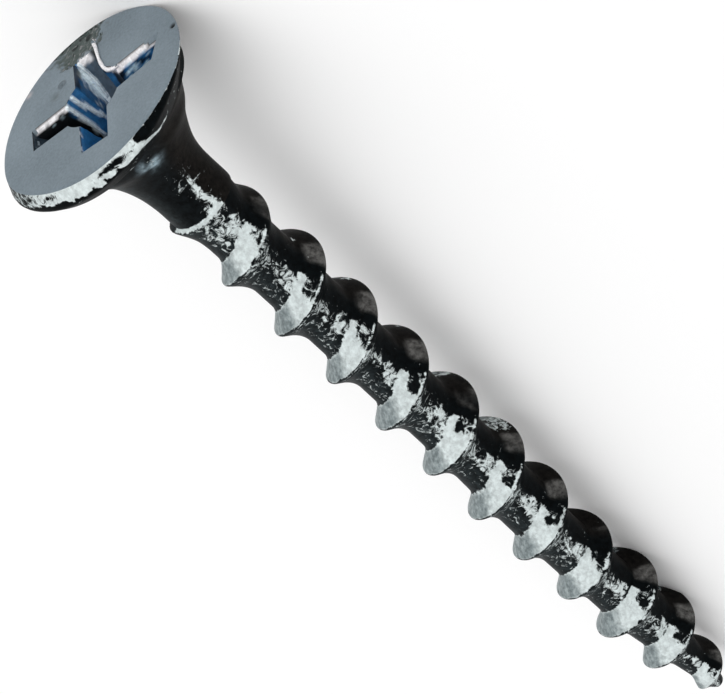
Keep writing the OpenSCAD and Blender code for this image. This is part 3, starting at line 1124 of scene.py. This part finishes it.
def blueRecess():
    # bright zinc with a blue passivate, thick in the recess: clear blue on a glossy wall
    material, tree, shader = newMaterial("blue passivated zinc")
    tone = addNode(tree, "ShaderNodeAttribute", dict(attribute_name="tone"))
    place = addNode(tree, "ShaderNodeTexCoord")
    cloud = addNode(tree, "ShaderNodeTexNoise",
                    {"Scale": 1 / (passivate["cloud"] * mm), "Detail": 4.0, "Distortion": 0.8},
                    {"Vector": place.outputs["Object"]})
    ramp = addNode(tree, "ShaderNodeMapRange",
                   {"From Min": 0.3, "From Max": 0.7, "To Min": 0.72, "To Max": 1.2},
                   {"Value": cloud.outputs[0]})
    color = addNode(tree, "ShaderNodeVectorMath", dict(operation="SCALE"),
                    {0: tone.outputs["Color"], "Scale": ramp.outputs[0]})
    setNode(tree, shader, {"Metallic": passivate["metallic"], "Roughness": passivate["roughness"]},
            {"Base Color": color.outputs[0]})
    return material


def oxideWithPaintedLight():
    # black oxide rubbed through to steel: crisp white smears and specks on near black, with painted
    # highlights on the upper side and painted shade beneath
    material, tree, shader = newMaterial("black oxide over steel, with painted light")
    wearAndPaintedLight = addNode(tree, "ShaderNodeAttribute", dict(attribute_name="wearAndPaintedLight"))
    bright = addNode(tree, "ShaderNodeAttribute", dict(attribute_name="bright"))
    tone = addNode(tree, "ShaderNodeAttribute", dict(attribute_name="tone"))
    place = addNode(tree, "ShaderNodeTexCoord")
    grain = addNode(tree, "ShaderNodeTexNoise",
                    {"Scale": 1 / (oxide["grain"] * mm), "Detail": 6.0, "Roughness": 0.70, "Distortion": 1.3},
                    {"Vector": place.outputs["Object"]})
    total = addNode(tree, "ShaderNodeMath", {"operation": "MULTIPLY_ADD", 1: oxide["lightShare"]},
                    {0: wearAndPaintedLight.outputs["Fac"], 2: grain.outputs["Fac"]})
    mask = addNode(tree, "ShaderNodeMapRange",
                   {"From Min": oxide["maskFrom"], "From Max": oxide["maskTo"]}, {"Value": total.outputs[0]})
    crust = addNode(tree, "ShaderNodeTexNoise",
                    {"Scale": 1 / (oxide["crust"] * mm), "Detail": 4.0, "Roughness": 0.65},
                    {"Vector": place.outputs["Object"]})
    streaky = addNode(tree, "ShaderNodeMath", {"operation": "MULTIPLY_ADD", 1: 0.9},
                      {0: crust.outputs["Fac"], 2: bright.outputs["Fac"]})
    # how far the steel shows as painted highlight, against painted shade
    highlightMix = addNode(tree, "ShaderNodeMapRange", {"From Min": 0.40, "From Max": 1.30},
                     {"Value": streaky.outputs[0]})
    steel = addNode(tree, "ShaderNodeMix",
                    {"data_type": "RGBA", 6: toLinear(tones["grey"]), 7: toLinear(tones["white"])},
                    {"Factor": highlightMix.outputs[0]})
    uneven = addNode(tree, "ShaderNodeMapRange",
                     {"From Min": 0.35, "From Max": 0.65, "To Min": 0.35, "To Max": 1.30},
                     {"Value": crust.outputs["Fac"]})
    grainy = addNode(tree, "ShaderNodeMapRange",
                     {"From Min": 0.35, "From Max": 0.65, "To Min": 0.76, "To Max": 1.12},
                     {"Value": crust.outputs["Fac"]})
    litSteel = addNode(tree, "ShaderNodeVectorMath", dict(operation="SCALE"),
                     {0: steel.outputs[2], "Scale": grainy.outputs[0]})
    dark = addNode(tree, "ShaderNodeVectorMath", dict(operation="SCALE"),
                   {0: tone.outputs["Color"], "Scale": uneven.outputs[0]})
    color = addNode(tree, "ShaderNodeMix", {"data_type": "RGBA"},
                    {"Factor": mask.outputs[0], 6: dark.outputs[0], 7: litSteel.outputs[0]})
    shine = addNode(tree, "ShaderNodeMath", {"operation": "MULTIPLY", 1: oxide["metallic"]},
                    {0: mask.outputs[0]})
    bump = addNode(tree, "ShaderNodeBump", {"Strength": 0.5, "Distance": oxide["pitDepth"] * mm},
                   {"Height": grain.outputs[0]})
    setNode(tree, shader, {"Roughness": oxide["roughness"], "Specular IOR Level": oxide["specular"]},
            {"Metallic": shine.outputs[0], "Base Color": color.outputs[2], "Normal": bump.outputs[0]})
    return material


def dressScrew(piece):
    piece.data.materials.clear()
    for material in (oxideWithPaintedLight(), zincFace(), blueRecess()):
        piece.data.materials.append(material)
    points = getPoints(piece)
    centres = np.array([points[list(polygon.vertices)].mean(axis=0) for polygon in piece.data.polygons])
    upright = np.array([polygon.normal.z for polygon in piece.data.polygons])
    onFace = isFace(centres, centres[:, 2] - surfaceOfFace(centres), upright)
    inside = inRecess(centres, -recess["burrRoom"])
    for polygon, flat, deep in zip(piece.data.polygons, onFace, inside):
        if flat:
            polygon.material_index = 1
        elif deep:
            polygon.material_index = 2


dressScrew(screw)
makeActive(screw)
smoothAngle = 35
bpy.ops.object.shade_smooth_by_angle(angle=math.radians(smoothAngle))

screw.data.transform(layDown)
screw.data.update()
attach(screw, "root")
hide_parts("drywall_screw")
print("screw laid down")


# Floor, light and camera

floor = dict(size=3.0, color="#fefefe", roughness=0.9)


def makeFloor():
    bpy.ops.mesh.primitive_plane_add(size=floor["size"], location=(0, 0, 0))
    piece = bpy.context.object
    piece.name = "floor"
    material, tree, shader = newMaterial("matt white board")
    setNode(tree, shader, {"Base Color": toLinear(floor["color"]), "Roughness": floor["roughness"]}, {})
    piece.data.materials.append(material)


light = dict(
    world=1.0, sky="#ffffff",
    keyPower=0.34, keySize=1.2, keyDistance=0.6,
    keyTowards=(-0.7, 0.1, -0.5),   # right, down and forward in the picture
)

view = dict(
    imageWidth=725, imageHeight=694,
    sensor=36.0,
    focal=2640.0,          # focal length in pixels of the picture
    facePixel=(91.05, 96.63),
    faceDistance=88.6,     # millimetres along the view
    axisTilt=56.24,        # between the view and the screw's axis
    axisTurn=43.11,        # of the axis in the picture
    upSide=29.0,           # side of the screw that is square to both
)


def cameraAxes():
    tilt = math.radians(view["axisTilt"])
    turn = math.radians(view["axisTurn"])
    side = math.radians(view["upSide"])
    axis = Vector((0, 0, 1))
    square = Vector((math.cos(side), math.sin(side), 0))
    near = axis.cross(square)
    flat = math.cos(tilt) * near
    right = math.sin(tilt) * math.cos(turn) * axis + math.sin(turn) * square + math.cos(turn) * flat
    down = math.sin(tilt) * math.sin(turn) * axis - math.cos(turn) * square + math.sin(turn) * flat
    forward = math.cos(tilt) * axis - math.sin(tilt) * near
    return [turnDown @ v for v in (right, down, forward)]


def makeCamera():
    right, down, forward = cameraAxes()
    reach = view["faceDistance"] * mm
    across = (view["facePixel"][0] - view["imageWidth"] / 2) / view["focal"] * reach
    below = (view["facePixel"][1] - view["imageHeight"] / 2) / view["focal"] * reach
    place = faceCentre - across * right - below * down - reach * forward
    bpy.ops.object.camera_add()
    camera = bpy.context.object
    camera.name = "camera"
    camera.matrix_world = Matrix.Translation(place) @ Matrix((right, -down, -forward)).transposed().to_4x4()
    camera.data.sensor_width = view["sensor"]
    camera.data.lens = view["focal"] / view["imageWidth"] * view["sensor"]
    camera.data.clip_start = mm
    bpy.context.scene.camera = camera


def makeLight():
    world = bpy.data.worlds.new("soft room")
    world.use_nodes = True
    back = world.node_tree.nodes["Background"]
    back.inputs["Color"].default_value = toLinear(light["sky"])
    back.inputs["Strength"].default_value = light["world"]
    bpy.context.scene.world = world
    towards = sum((share * axis for share, axis in zip(light["keyTowards"], cameraAxes())), Vector())
    towards.normalize()
    place = towards * light["keyDistance"]
    bpy.ops.object.light_add(type="AREA", location=place)
    key = bpy.context.object
    key.data.shape = "DISK"
    key.data.size = light["keySize"]
    key.data.energy = light["keyPower"]
    key.matrix_world = Matrix.Translation(place) @ towards.to_track_quat("Z", "Y").to_matrix().to_4x4()


makeFloor()
makeLight()
makeCamera()
bpy.context.scene.view_settings.view_transform = "Standard"

print("scene ready")
